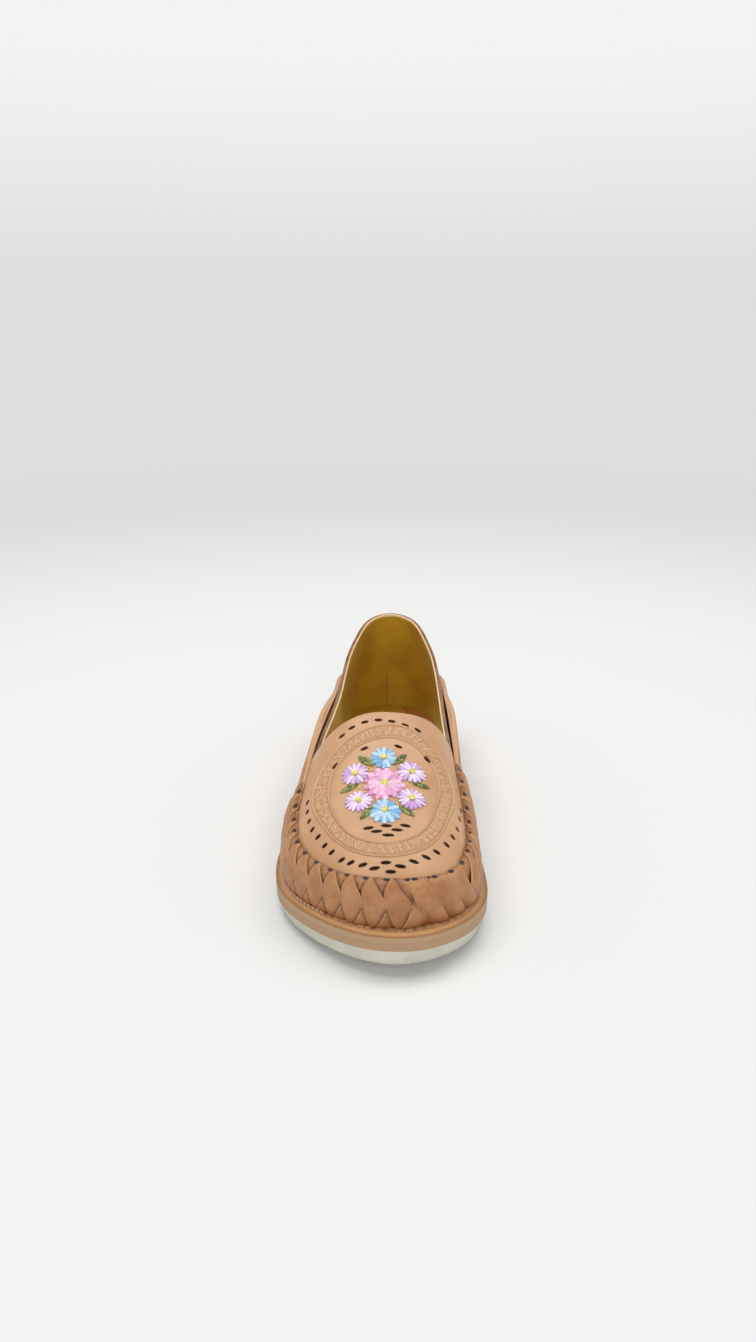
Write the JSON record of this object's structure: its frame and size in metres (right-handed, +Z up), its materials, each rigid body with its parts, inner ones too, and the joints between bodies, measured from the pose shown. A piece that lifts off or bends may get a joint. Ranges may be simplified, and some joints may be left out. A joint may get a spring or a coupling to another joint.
{
  "type": "huarache sandal",
  "caption": "Closed woven leather huarache sandal with a tooled vamp plug, long side straps, a tall heel counter and a flat layered sole.",
  "frame": {"origin": "on the floor below the middle of the shoe's bounding box", "axes": "+Z up, toe points to -Y and heel to +Y, +X toward the inner side of the right foot"},
  "size_m": [0.0902, 0.25, 0.074],
  "materials": {
    "outsole_foam": "matte off-white foam rubber",
    "midsole_board": "beige layered edge with fine upright grain",
    "welt_leather": "orange-tan leather, burnished edge",
    "insole_leather": "brown smooth leather",
    "strap_leather": "natural tan leather strips, satin",
    "vamp_leather": "light natural tan tooled leather, satin",
    "counter_leather": "tan leather with a mustard lining"
  },
  "bodies": {
    "root": {"outsole": "outsole_foam", "midsole": "midsole_board", "welt": "welt_leather", "insole": "insole_leather", "woven_upper": "strap_leather", "vamp_plug": "vamp_leather", "heel_counter": "counter_leather"}
  },
  "joints": []
}
